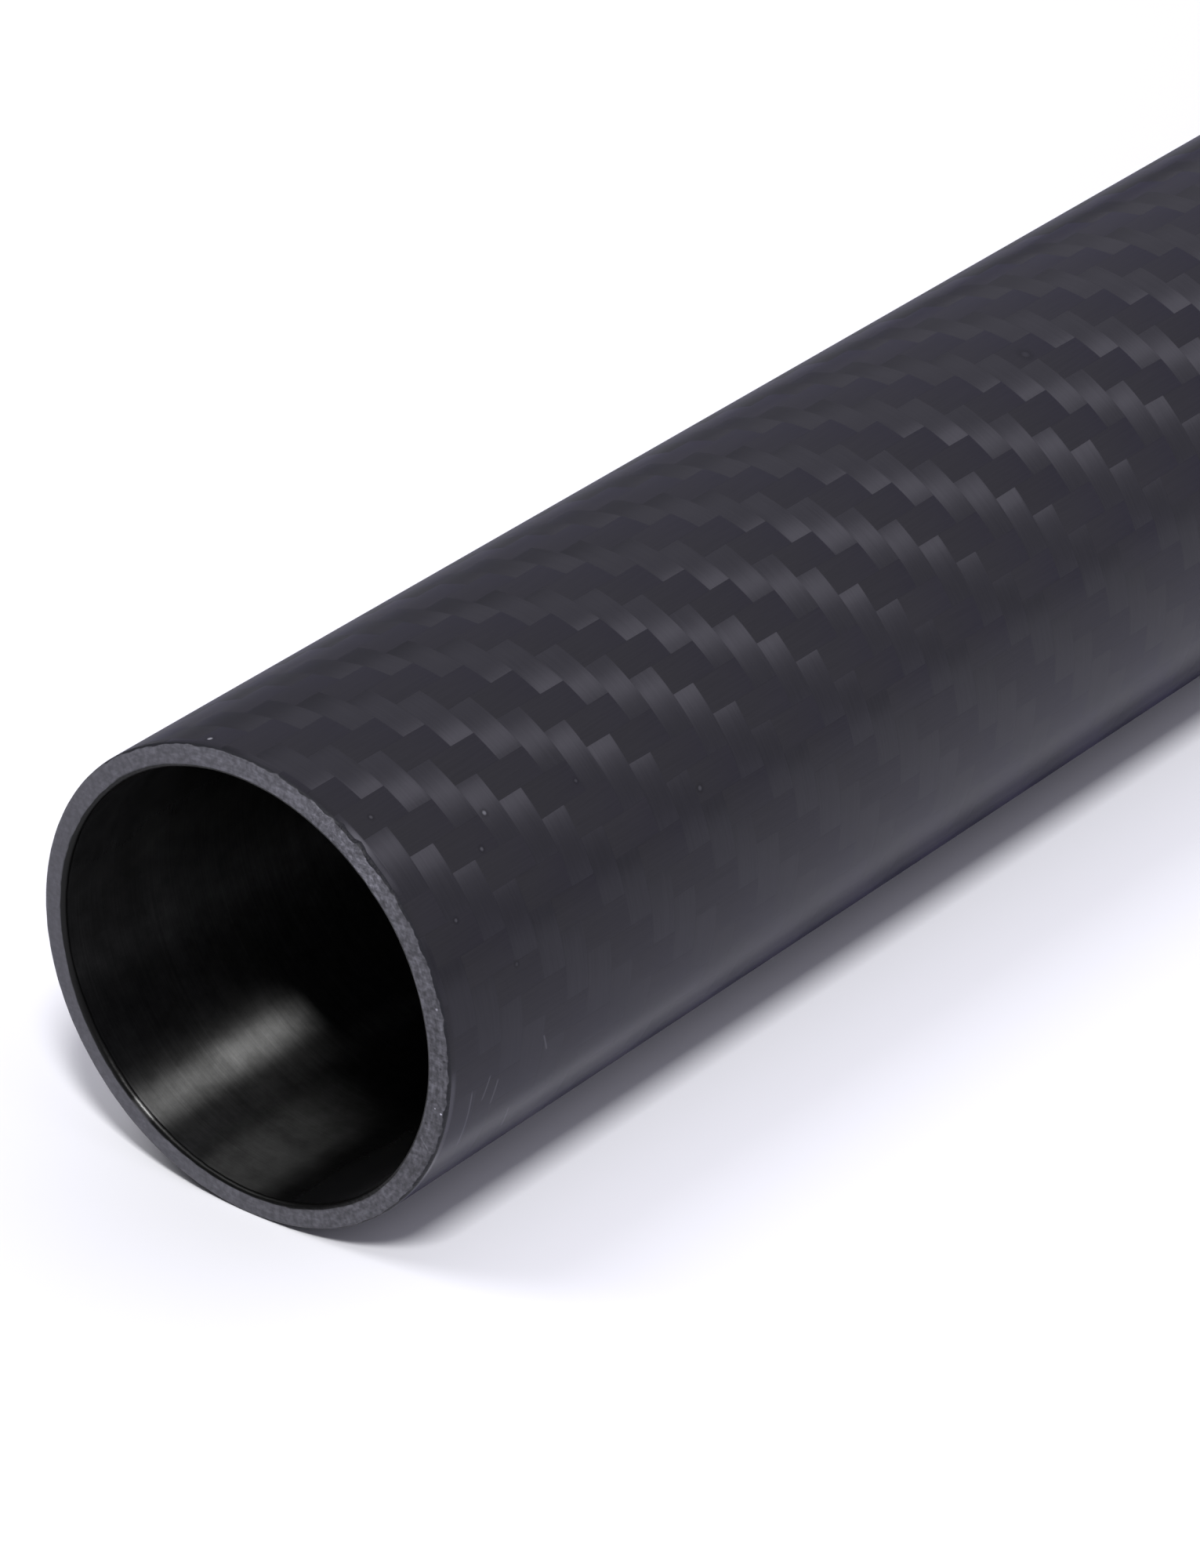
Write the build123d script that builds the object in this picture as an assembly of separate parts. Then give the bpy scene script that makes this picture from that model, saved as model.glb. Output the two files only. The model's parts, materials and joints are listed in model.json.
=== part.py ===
from build123d import *

import os

# Roll-wrapped carbon fibre tube, 30 mm outside and 27 mm in the bore, in a 500 mm stock
# length. It is one cured piece: plies of cloth rolled on a polished mandrel, so the bore
# is true and smooth and the outside is round. Both ends are sawn square, and the sharp
# saw edges are broken with abrasive, a little more in the bore than outside.
#
# Millimetres, +Z up. The tube lies along X on the ground plane. The origin is under its
# middle, on the line where it touches the ground.

# Driving dimensions, each set by itself.
TUBE_LENGTH = 500.0
OUTER_DIAMETER = 30.0
WALL_THICKNESS = 1.5
OUTER_EDGE_BREAK = 0.25
BORE_EDGE_BREAK = 0.3

# Worked out from them.
OUTER_RADIUS = OUTER_DIAMETER / 2
BORE_RADIUS = OUTER_RADIUS - WALL_THICKNESS
AXIS_HEIGHT = OUTER_RADIUS


def wall_section():
    """The wall cut lengthwise above the axis: a long strip with its four saw edges broken."""
    with BuildSketch(Plane.XZ) as section:
        with Locations((0, AXIS_HEIGHT + BORE_RADIUS)):
            Rectangle(TUBE_LENGTH, WALL_THICKNESS, align=(Align.CENTER, Align.MIN))
        corners = section.vertices().sort_by(Axis.Y)
        bore_corners = corners[:2]
        outer_corners = corners[2:]
        chamfer(bore_corners, length=BORE_EDGE_BREAK)
        chamfer(outer_corners, length=OUTER_EDGE_BREAK)
    return section.sketch


def make_tube():
    """The wall section turned once round the tube's own axis."""
    tube_axis = Axis((0, 0, AXIS_HEIGHT), (1, 0, 0))
    with BuildPart() as tube:
        add(wall_section())
        revolve(axis=tube_axis, revolution_arc=360)
    return tube.part


os.makedirs("parts", exist_ok=True)
export_step(make_tube(), "parts/tube.step")
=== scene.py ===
import json
import math

import bpy
from mathutils import Matrix, Vector


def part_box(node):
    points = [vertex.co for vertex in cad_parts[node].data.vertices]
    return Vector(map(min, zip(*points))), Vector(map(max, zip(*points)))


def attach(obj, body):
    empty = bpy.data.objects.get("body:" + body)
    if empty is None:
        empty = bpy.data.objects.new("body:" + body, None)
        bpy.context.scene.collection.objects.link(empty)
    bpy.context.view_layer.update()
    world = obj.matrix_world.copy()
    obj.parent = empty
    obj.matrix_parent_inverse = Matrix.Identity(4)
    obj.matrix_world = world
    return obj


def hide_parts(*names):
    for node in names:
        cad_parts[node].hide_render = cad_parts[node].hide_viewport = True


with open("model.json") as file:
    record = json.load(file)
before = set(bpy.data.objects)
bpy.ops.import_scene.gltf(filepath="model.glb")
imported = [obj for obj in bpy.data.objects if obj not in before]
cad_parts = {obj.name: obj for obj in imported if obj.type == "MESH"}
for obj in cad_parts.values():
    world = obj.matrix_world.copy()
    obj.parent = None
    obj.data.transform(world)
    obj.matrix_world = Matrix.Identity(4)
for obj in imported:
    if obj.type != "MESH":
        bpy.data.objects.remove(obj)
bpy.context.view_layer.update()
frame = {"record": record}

# A roll-wrapped carbon fibre tube, lying on a pale floor. Its outer skin is 2/2 twill
# cloth: hoop tows run round the tube and axial tows run along it, and each floats over
# two of the others. Lengths are metres and angles are degrees, except where a name says
# tows, which counts tow widths. A turn is an angle round the tube, 0 on top and growing
# towards the camera's side, and a station is a distance along it from the near end.

# Sizes of the tube, read from the frame.
TUBE_LOW, TUBE_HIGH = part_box("tube")
TUBE_LENGTH = TUBE_HIGH.x - TUBE_LOW.x
OUTER_RADIUS = (TUBE_HIGH.z - TUBE_LOW.z) / 2
AXIS_HEIGHT = TUBE_LOW.z + OUTER_RADIUS
MOUNTS = {mount["name"]: mount for mount in frame["record"]["mounts"]}
BORE_RADIUS = MOUNTS["bore"]["dims"]["r_mm"] / 1000
OUTER_EDGE_BREAK = (TUBE_LENGTH - MOUNTS["outside"]["dims"]["length_mm"] / 1000) / 2
BORE_EDGE_BREAK = (TUBE_LENGTH - MOUNTS["bore"]["dims"]["length_mm"] / 1000) / 2
NEAR_END = Vector((TUBE_LOW.x, 0, AXIS_HEIGHT))

# The cloth of the outer skin. The lap where its last wrap ends lies low on the back.
TOW_PITCH = 0.001992
TOWS_ROUND = 45
FIRST_TOW_LINE = 0.000675
LAP_TURN = -157.13
STEPS_PER_TOW = 6
TOW_ROWS = math.ceil((TUBE_LENGTH - FIRST_TOW_LINE) / TOW_PITCH) + 1
FLOAT_TOWS = 2
REPEAT_TOWS = 4

# The two kinds of tow. The tint is what the fibres reflect at a grazing angle, and the crown
# is how high a float rises in its middle.
HOOP_COLOR = (0.0342, 0.0330, 0.0386)
HOOP_EDGE_TINT = (0.08, 0.03, 0.45, 1.0)
HOOP_CROWN = 0.00018
AXIAL_COLOR = (0.0325, 0.0315, 0.0336)
AXIAL_EDGE_TINT = (0.25, 0.20, 0.55, 1.0)
AXIAL_CROWN = 0.00009

# How far the sheen is turned where fibres or marks run round the tube or along it, in whole
# rotations.
SHEEN_ROUND = 0.25
SHEEN_ALONG = 0.0

# How far the tones of the tows spread, as usual and where the skin is even, and those of the
# strands in a tow.
TONE_SPREADS = (0.17, 0.06)
STRAND_SPREAD = 0.6

# Stretches of the skin, by first and last turn, where the hoop tows are painted paler or darker
# than elsewhere, and by what share: a painted highlight low in the band where they catch the key
# light, and painted shade below it.
HOOP_PAINTED_LIGHT = ((44.0, 64.0, 0.075), (75.0, 90.0, -0.06))
HOOP_PAINTED_LIGHT_FADE = 6.0

# The cloth lies flatter and evener from the first of these turns to the second, and beyond.
EVEN_SKIN = (64.0, 80.0)
EVEN_FLATTENING = 0.65

# How much resin shines as usual and at a grazing angle, and the shares of turning away
# between which it changes.
SHINES = (0.65, 0.21)
SHINE_FACINGS = (0.675, 0.815)

# Beside the near end the resin shines less or more from the first turn to the second and
# beyond, by the third number. That is full up to the second station and gone by the first.
END_SHINES = ((45.0, 80.0, -0.25), (109.0, 121.0, 1.6))
NEAR_END_FADE = (0.05, 0.004)

# Specks of dust on the skin by station, turn, radius and paleness, and hairline scratches by
# station, first turn, last turn and how far the scratch drifts along the tube.
DUST_AND_HIGHLIGHT_COLOR = (0.20, 0.20, 0.21, 1.0)
SPECKS = (
    (0.00100, -10.8, 0.00021, 1.3),
    (0.00225, 31.3, 0.00016, 0.29),
    (0.00915, 43.3, 0.00019, 0.55),
    (0.00750, 49.6, 0.00017, 0.33),
    (0.00330, 59.7, 0.00016, 0.25),
    (0.00670, 75.5, 0.00016, 0.15),
    (0.01640, 47.7, 0.00015, 0.20),
    (0.02495, 63.5, 0.00020, 0.26),
    (0.07005, 15.9, 0.00036, 0.10),
)
SCRATCHES = (
    (0.0068, 113.0, 121.0, 0.0004),
    (0.0023, 98.5, 116.0, 0.0001),
    (0.0039, 97.5, 104.0, -0.0005),
    (0.0047, 100.0, 107.0, -0.0003),
    (0.0086, 96.0, 101.0, 0.0005),
)
HALO_REACH = 2.2
SCRATCH_EDGE = 0.00011
SCRATCH_CORE = 0.00002
SCRATCH_PALENESS = 0.24

# The share of a mark's reach that is at full strength.
CORE_SHARE = 0.3

# Listed marks lie on this first length of the tube, and random dust beyond it.
MARKED_LENGTH = 0.1

# Marks on the sawn near end: specks by radius, turn, size and paleness, dark nicks by radius,
# turn and size, a scratch, and the middle and the reach of the stretch where its edge is frayed.
# They are laid out on the end as if they all lay at one radius.
END_MARKS_RADIUS = 0.0145
END_SPECKS = (
    (0.0147, 75.0, 0.00011, 2.6),
    (0.0147, 101.3, 0.00009, 6.0),
    (0.01425, 100.8, 0.00006, 6.0),
)
END_NICKS = (
    (0.01452, 86.3, 0.00016),
    (0.01470, 87.6, 0.00014),
    (0.01443, 89.8, 0.00012),
    (0.01388, 106.1, 0.00015),
)
NICK_DARKNESS = 0.6
END_SCRATCH_RADII = (0.01380, 0.01465)
END_SCRATCH_TURNS = (110.9, 112.7)
END_SCRATCH_EDGE = 0.00009
END_SCRATCH_CORE = 0.00003
END_SCRATCH_PALENESS = 0.7
FRAYED_TURN = 34.0
FRAYED_REACH = 20.0
FRAYED_PALENESS = 0.7

# The cut laminate. The saw left it coarser round the coarse turn than on the other side. The
# dark rim starts between two shares of the broken edge, and sooner on the rim stretches.
CUT_COLOR = (0.0705, 0.0695, 0.0805)
UPRIGHT_PALENESS = 0.16
DARK_RIM_COLOR = (0.010, 0.010, 0.0135, 1.0)
DARK_RIM_SHARES = (0.60, 0.77)
DARK_RIM_RAGGEDNESS = 1.2
RIM_STRETCH_GAIN = 0.12
GRAIN_SCALE = 3000.0
CLOUDS_ACROSS = 2600.0
CLOUDS_ROUND = 15.0
TUFT_SCALE = 2600.0
BLOTCH_SCALE = 110.0
PLY_PITCH = 0.00021
SAW_MARK_LEAN = 28.0
SAW_MARK_SCALE = (1.0, 500.0, 7000.0)
COARSE_TURN = 75.0
LEAST_COARSE = 0.25
GRAIN_HEIGHT = 0.00001
SAW_MARK_HEIGHT = 0.00003
TUFT_HEIGHT = 0.00003

# Stretches of the near edge, by first and last turn, where the dark broken edge is wider, and
# the rim of the skin behind it is painted pale: a painted highlight along the rim.
RIM_STRETCHES = ((30.0, 47.0), (92.0, 140.0))
RIM_HIGHLIGHT_START = 0.0008
RIM_HIGHLIGHT_FULL = 0.00045
RIM_HIGHLIGHT_SHARE = 0.20

# Stretches of the bore's near edge, by first and last turn: one where a glint is painted, the
# polished edge's colour brightest there and painted darker elsewhere, and one where the saw edge
# was hardly broken.
PAINTED_GLINT = (-147.0, -141.0)
SHARP_BORE_EDGE = (65.0, 125.0)
SHARP_FADE = 15.0
SHARP_SHARE = 0.35
EDGE_GLINT_SHADES = (0.4, 1.7)

# The bore, with a stretch beside the bright streak, by first and last turn, that is painted paler
# as a painted sheen. It is painted darker up to the first of two depths and paler from the second
# on, a painted highlight at the streak's far end, and its shine changes likewise. Its lower half is
# painted paler and its upper half darker: painted highlight on the lit streak, painted shade above.
BORE_COLOR = (0.0455, 0.0455, 0.045)
BORE_PAINTED_SHEEN = (-161.0, -156.0)
BORE_MARK_SCALE = (9000.0, 60.0, 60.0)
BORE_PATCH_SCALE = 800.0
PAINTED_DEPTHS = (0.0055, 0.008)
PAINTED_DEPTH_SHADES = (0.90, 1.35)
PAINTED_LOW_SHADES = (0.55, 1.2)
SHINE_DEPTHS = (0.004, 0.011)
SHINE_GAINS = (1.0, 0.87)

# Chips in the outer edge of the near end, by turn, half width in turn and extra depth.
CHIPS = (
    (29.7, 1.7, 0.00016),
    (35.3, 2.0, 0.00022),
    (48.8, 1.7, 0.00014),
)

# The hand that broke the saw edges swung slowly and quickly. Both swings are noise scales, and
# the share is the slow one's part.
SLOW_SWING = 1.6
SLOW_SWING_SHARE = 0.6
QUICK_SWING = 16.0
SWING_GAIN = 4.0

# The camera, at the photograph's viewing angle.
CAMERA_TURN = -51.907
CAMERA_RISE = 28.928
CAMERA_DISTANCE = 0.43254
CAMERA_AIM = NEAR_END + Vector((0.016882, -0.012455, 0.010136))
CAMERA_LENS = 175.6
SENSOR_WIDTH = 36.0

NODE_SPACING = 180
FLOAT = "NodeSocketFloat"
VECTOR = "NodeSocketVector"
GEOMETRY = "NodeSocketGeometry"
MATERIAL = "NodeSocketMaterial"
GEOMETRY_TREE = "GeometryNodeTree"
SHADER_TREE = "ShaderNodeTree"


# Nodes


def feed(tree, node, reads):
    """Gives a node what it reads: sockets to link, or plain values."""
    for name, value in reads.items():
        socket = node.inputs[name]
        if isinstance(value, bpy.types.NodeSocket):
            tree.links.new(value, socket)
        else:
            socket.default_value = value


def put(tree, kind, reads=None, **settings):
    """Adds one node to a tree, sets it up and gives it what it reads."""
    node = tree.nodes.new(kind)
    node.location.x = NODE_SPACING * len(tree.nodes)
    for name, setting in settings.items():
        setattr(node, name, setting)
    feed(tree, node, reads or {})
    return node


def calc(tree, operation, *values):
    """A Math node's result."""
    return put(tree, "ShaderNodeMath", dict(enumerate(values)), operation=operation).outputs[0]


def plus(tree, first, second):
    return calc(tree, "ADD", first, second)


def minus(tree, first, second):
    return calc(tree, "SUBTRACT", first, second)


def times(tree, first, second):
    return calc(tree, "MULTIPLY", first, second)


def divide(tree, first, second):
    return calc(tree, "DIVIDE", first, second)


def scaled(tree, value, gain, base):
    """The value times the gain, plus the base."""
    return calc(tree, "MULTIPLY_ADD", value, gain, base)


def vary(tree, shade, by, gain, base=1.0):
    """A shade made paler or darker by a second value: the shade times the scaled value."""
    return times(tree, shade, scaled(tree, by, gain, base))


def blend_numbers(tree, share, low, high):
    """A number from low to high as the share goes from 0 to 1."""
    reads = {"Value": share, "To Min": low, "To Max": high}
    return put(tree, "ShaderNodeMapRange", reads).outputs["Result"]


def share_between(tree, value, start, end, rise="LINEAR"):
    """0 before start, 1 after end, and a straight rise between them."""
    reads = {"Value": value, "From Min": start, "From Max": end}
    return put(tree, "ShaderNodeMapRange", reads, interpolation_type=rise).outputs["Result"]


def soft_step(tree, value, start, end):
    """0 before start, 1 after end, and a smooth rise between them."""
    return share_between(tree, value, start, end, rise="SMOOTHSTEP")


def stretch(tree, turn, first, last, fade=3.0):
    """1 from the first turn to the last one, with soft ends, and 0 elsewhere."""
    begun = soft_step(tree, turn, first - fade, first + fade)
    not_over = soft_step(tree, turn, last + fade, last - fade)
    return times(tree, begun, not_over)


def point_at(tree, x, y, z=0.0):
    return put(tree, "ShaderNodeCombineXYZ", {"X": x, "Y": y, "Z": z}).outputs[0]


def split_point(tree, point):
    return put(tree, "ShaderNodeSeparateXYZ", {0: point}).outputs


def noise(tree, place, scale, detail=2.0, roughness=0.5):
    reads = {"Vector": place, "Scale": scale, "Detail": detail, "Roughness": roughness}
    return put(tree, "ShaderNodeTexNoise", reads).outputs[0]


def new_group(name, kind, inputs, outputs):
    """A node group with named inputs and outputs. Each is (name, socket type, default or None)."""
    tree = bpy.data.node_groups.new(name, kind)
    for direction, sockets in (("INPUT", inputs), ("OUTPUT", outputs)):
        for title, socket_type, default in sockets:
            socket = tree.interface.new_socket(title, in_out=direction, socket_type=socket_type)
            if default is not None:
                socket.default_value = default
    entry = tree.nodes.new("NodeGroupInput")
    leaving = tree.nodes.new("NodeGroupOutput")
    return tree, entry.outputs, leaving.inputs


# Geometry


def make_edge_width_group():
    """How wide a saw edge was broken by hand, which wanders round the rim."""
    tree, given, result = new_group(
        "hand_broken_edge",
        GEOMETRY_TREE,
        [
            ("Turn", FLOAT, 0.0),
            ("Mean Width", FLOAT, OUTER_EDGE_BREAK),
            ("Wander", FLOAT, 0.3),
            ("Seed", FLOAT, 0.0),
            ("Chipped", FLOAT, 0.0),
        ],
        [("Width", FLOAT, None)],
    )
    angle = calc(tree, "RADIANS", given["Turn"])
    place = point_at(tree, calc(tree, "COSINE", angle), calc(tree, "SINE", angle), given["Seed"])
    slow = noise(tree, place, SLOW_SWING, detail=1.0)
    quick = noise(tree, place, QUICK_SWING, detail=3.0)
    slow = times(tree, slow, SLOW_SWING_SHARE)
    quick = times(tree, quick, 1 - SLOW_SWING_SHARE)
    swing = times(tree, minus(tree, plus(tree, slow, quick), 0.5), given["Wander"])
    width = vary(tree, given["Mean Width"], swing, SWING_GAIN)
    for chip_turn, half_width, extra_depth in CHIPS:
        off = calc(tree, "ABSOLUTE", minus(tree, given["Turn"], chip_turn))
        chip = times(tree, soft_step(tree, off, half_width, 0.0), given["Chipped"])
        width = scaled(tree, chip, extra_depth, width)
    tree.links.new(width, result["Width"])
    return tree


def make_bend_group():
    """Puts a flat sheet's points on the tube, by station along it, radius and turn round it."""
    tree, given, result = new_group(
        "bend_round_the_axis",
        GEOMETRY_TREE,
        [
            ("Sheet", GEOMETRY, None),
            ("Station", FLOAT, 0.0),
            ("Radius", FLOAT, OUTER_RADIUS),
            ("Turn", FLOAT, 0.0),
        ],
        [("Sheet", GEOMETRY, None)],
    )
    angle = calc(tree, "RADIANS", given["Turn"])
    side = times(tree, given["Radius"], calc(tree, "SINE", angle))
    rise = scaled(tree, given["Radius"], calc(tree, "COSINE", angle), AXIS_HEIGHT)
    along = plus(tree, given["Station"], NEAR_END.x)
    place = point_at(tree, along, times(tree, side, -1.0), rise)
    bent = put(tree, "GeometryNodeSetPosition", {"Geometry": given["Sheet"], "Position": place})
    tree.links.new(bent.outputs[0], result["Sheet"])
    return tree


def flat_sheet(tree, rows, columns):
    """A flat grid, with each point's row and column as numbers, and each face's by its middle."""
    reads = {"Size X": rows, "Size Y": columns, "Vertices X": rows + 1, "Vertices Y": columns + 1}
    sheet = put(tree, "GeometryNodeMeshGrid", reads)
    place = split_point(tree, put(tree, "GeometryNodeInputPosition").outputs[0])
    row = plus(tree, place["X"], rows / 2)
    column = plus(tree, place["Y"], columns / 2)
    return sheet.outputs["Mesh"], row, column


def keep(tree, sheet, domain, **fields):
    """Holds fields as they are on the flat sheet, so that bending it doesn't change them."""
    node = put(tree, "GeometryNodeCaptureAttribute", domain=domain)
    for title, field in fields.items():
        node.capture_items.new("FLOAT", title)
        tree.links.new(field, node.inputs[title])
    tree.links.new(sheet, node.inputs["Geometry"])
    return node.outputs["Geometry"], [node.outputs[title] for title in fields]


def store(tree, sheet, name, domain, data_type, value):
    reads = {"Geometry": sheet, "Name": name, "Value": value}
    node = put(tree, "GeometryNodeStoreNamedAttribute", reads, data_type=data_type, domain=domain)
    return node.outputs["Geometry"]


def call(tree, group, **reads):
    """Runs a geometry group with its inputs given by name."""
    node = put(tree, "GeometryNodeGroup", node_tree=group)
    feed(tree, node, {name.replace("_", " ").title(): value for name, value in reads.items()})
    return node.outputs[0]


def dress_faces(tree, sheet, material, chosen=None):
    reads = {"Geometry": sheet, "Material": material}
    if chosen is not None:
        reads["Selection"] = chosen
    return put(tree, "GeometryNodeSetMaterial", reads).outputs[0]


def turned_over(tree, sheet):
    return put(tree, "GeometryNodeFlipFaces", {"Mesh": sheet}).outputs[0]


# The piece's map for textures, in shares of its width and height. The skin lies in strips.
SKIN_STRIPS = 4
STRIPS_ABREAST = 2
MAP_GAP = 0.004
SKIN_TOP = 0.82
BORE_BAND = (0.83, 0.95)
NEAR_BAND = (0.957, 0.975)
FAR_BAND = (0.982, 1.0)
MAP_NAME = "OFBake"

COLUMNS = TOWS_ROUND * STEPS_PER_TOW
END_STEPS = 14
BORE_STEPS = 10
MERGE_DISTANCE = 1e-6

# The far end's broken edges get other seeds than the near end's, and the bore's than the skin's.
FAR_SEED_STEP = 7.0
BORE_SEED_STEP = 3.0

# How quickly tows stray from straight, along the tube and round it: by a shift along the tube,
# and by one round it.
STRAY_ALONG = (0.9, 1.1)
STRAY_ROUND = (0.15, 6.4)
STRAIGHT_END_TOWS = 2.0

# Numbers that tell tows and their floats apart, and the seeds of their tones.
FIRST_AXIAL_NUMBER = 5000.0
FLOAT_NUMBERS_PER_TOW = 97.0
TOW_TONE_SEED = 11
FLOAT_TONE_SEED = 12


def in_band(tree, share, low=0.0, high=1.0):
    """A share of 0 to 1 placed between low and high, with a little room at both ends."""
    return blend_numbers(tree, share, low + MAP_GAP / 2, high - MAP_GAP / 2)


def turn_of(tree, column):
    return scaled(tree, column, 360 / COLUMNS, LAP_TURN)


def random_tone(tree, number, seed):
    """A random share of 0 to 1 that is the same for the same number."""
    reads = {"ID": number, "Seed": seed}
    return put(tree, "FunctionNodeRandomValue", reads, data_type="FLOAT").outputs[1]


def make_tube_tree():
    """The whole wall as one closed skin: the cloth-covered outside, both sawn ends and the bore."""
    tree, given, result = new_group(
        "tube_wall",
        GEOMETRY_TREE,
        [
            ("Length", FLOAT, TUBE_LENGTH),
            ("Outer Radius", FLOAT, OUTER_RADIUS),
            ("Bore Radius", FLOAT, BORE_RADIUS),
            ("Tow Pitch", FLOAT, TOW_PITCH),
            ("First Tow Line", FLOAT, FIRST_TOW_LINE),
            ("Outer Edge Break", FLOAT, OUTER_EDGE_BREAK),
            ("Bore Edge Break", FLOAT, BORE_EDGE_BREAK),
            ("Edge Wander", FLOAT, 0.35),
            ("Tow Wander", FLOAT, 0.12),
            ("Seed", FLOAT, 3.0),
            ("Hoop Tows", MATERIAL, None),
            ("Axial Tows", MATERIAL, None),
            ("Sawn End", MATERIAL, None),
            ("Bore", MATERIAL, None),
        ],
        [("Tube", GEOMETRY, None)],
    )
    edge_width = make_edge_width_group()
    bend = make_bend_group()
    outer_radius, bore_radius = given["Outer Radius"], given["Bore Radius"]
    far_seed = plus(tree, given["Seed"], FAR_SEED_STEP)

    def outer_break(turn, far):
        reads = {"mean_width": given["Outer Edge Break"], "wander": given["Edge Wander"]}
        seed = far_seed if far else given["Seed"]
        return call(tree, edge_width, turn=turn, seed=seed, chipped=0.0 if far else 1.0, **reads)

    def bore_break(turn, far):
        seed = plus(tree, far_seed if far else given["Seed"], BORE_SEED_STEP)
        sharp = 0.0 if far else stretch(tree, turn, *SHARP_BORE_EDGE, fade=SHARP_FADE)
        share = blend_numbers(tree, sharp, 1.0, SHARP_SHARE)
        width = times(tree, given["Bore Edge Break"], share)
        wander = given["Edge Wander"]
        return call(tree, edge_width, turn=turn, seed=seed, mean_width=width, wander=wander)

    def stray(turn, along_tows, along_scale, round_scale):
        """How far tows stray from straight, in tows. It is the same on both sides of the lap."""
        angle = calc(tree, "RADIANS", turn)
        along = times(tree, along_tows, along_scale)
        cosine = times(tree, calc(tree, "COSINE", angle), round_scale)
        sine = times(tree, calc(tree, "SINE", angle), round_scale)
        swing = minus(tree, noise(tree, point_at(tree, along, cosine, sine), 1.0, detail=1.0), 0.5)
        return times(tree, swing, times(tree, given["Tow Wander"], 2.0))

    def skin():
        sheet, row, column = flat_sheet(tree, TOW_ROWS, COLUMNS)
        turn = turn_of(tree, column)
        round_tows = divide(tree, column, STEPS_PER_TOW)
        first = minus(tree, outer_break(turn, far=False), given["First Tow Line"])
        first = divide(tree, first, given["Tow Pitch"])
        last = plus(tree, outer_break(turn, far=True), given["First Tow Line"])
        last = divide(tree, minus(tree, given["Length"], last), given["Tow Pitch"])
        along_tows = calc(tree, "MAXIMUM", minus(tree, row, 1.0), first)
        along_tows = calc(tree, "MINIMUM", along_tows, last)

        # Tows wander a little, but not where the skin meets the sawn ends.
        from_near = minus(tree, along_tows, first)
        from_far = minus(tree, last, along_tows)
        from_end = calc(tree, "MINIMUM", from_near, from_far)
        free = soft_step(tree, from_end, 0.0, STRAIGHT_END_TOWS)
        stray_along = times(tree, stray(turn, along_tows, *STRAY_ALONG), free)
        stray_round = times(tree, stray(turn, along_tows, *STRAY_ROUND), free)
        bent_along = plus(tree, along_tows, stray_along)
        bent_turn = scaled(tree, stray_round, 360 / TOWS_ROUND, turn)

        # Which tow is on top in each cell of the cloth, by the cell's place in the repeat.
        cell_along = calc(tree, "FLOOR", minus(tree, row, 1.0))
        cell_round = calc(tree, "FLOOR", divide(tree, column, STEPS_PER_TOW))
        step = calc(tree, "FLOORED_MODULO", minus(tree, cell_round, cell_along), REPEAT_TOWS)
        hoop_on_top = calc(tree, "LESS_THAN", step, FLOAT_TOWS - 0.5)
        back_step = minus(tree, cell_along, cell_round)
        back_step = calc(tree, "FLOORED_MODULO", back_step, REPEAT_TOWS)
        start_round = minus(tree, cell_round, step)
        start_along = minus(tree, cell_along, minus(tree, back_step, 1.0))
        strip = calc(tree, "FLOOR", times(tree, row, SKIN_STRIPS / TOW_ROWS))
        sheet, (cell_along, cell_round, hoop, start_round, start_along, strip) = keep(
            tree,
            sheet,
            "FACE",
            cell_along=cell_along,
            cell_round=cell_round,
            hoop=hoop_on_top,
            start_round=start_round,
            start_along=start_along,
            strip=strip,
        )
        sheet, (along_tows, round_tows, bent_along, bent_turn, row) = keep(
            tree,
            sheet,
            "POINT",
            along_tows=along_tows,
            round_tows=round_tows,
            bent_along=bent_along,
            bent_turn=bent_turn,
            row=row,
        )

        def pick(if_axial, if_hoop):
            reads = {"Switch": hoop, "False": if_axial, "True": if_hoop}
            return put(tree, "GeometryNodeSwitch", reads, input_type="FLOAT").outputs[0]

        # Where a point lies on its own float: along it and across it, both from 0 to 1.
        hoop_along = divide(tree, minus(tree, round_tows, start_round), FLOAT_TOWS)
        hoop_across = minus(tree, along_tows, cell_along)
        axial_along = divide(tree, minus(tree, along_tows, start_along), FLOAT_TOWS)
        axial_across = minus(tree, round_tows, cell_round)
        along, across = pick(axial_along, hoop_along), pick(axial_across, hoop_across)
        sheet = store(tree, sheet, "on_float", "CORNER", "FLOAT2", point_at(tree, along, across))
        on_cloth = point_at(tree, along_tows, round_tows)
        sheet = store(tree, sheet, "on_cloth", "CORNER", "FLOAT2", on_cloth)

        # One tone for each tow and one for each of its floats, mixed.
        tow_number = pick(plus(tree, cell_round, FIRST_AXIAL_NUMBER), cell_along)
        float_start = pick(start_along, start_round)
        float_number = scaled(tree, tow_number, FLOAT_NUMBERS_PER_TOW, float_start)
        tow_tone = times(tree, random_tone(tree, tow_number, TOW_TONE_SEED), 0.5)
        float_tone = times(tree, random_tone(tree, float_number, FLOAT_TONE_SEED), 0.5)
        tone = plus(tree, tow_tone, float_tone)
        sheet = store(tree, sheet, "tow_tone", "FACE", "FLOAT", tone)

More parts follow.
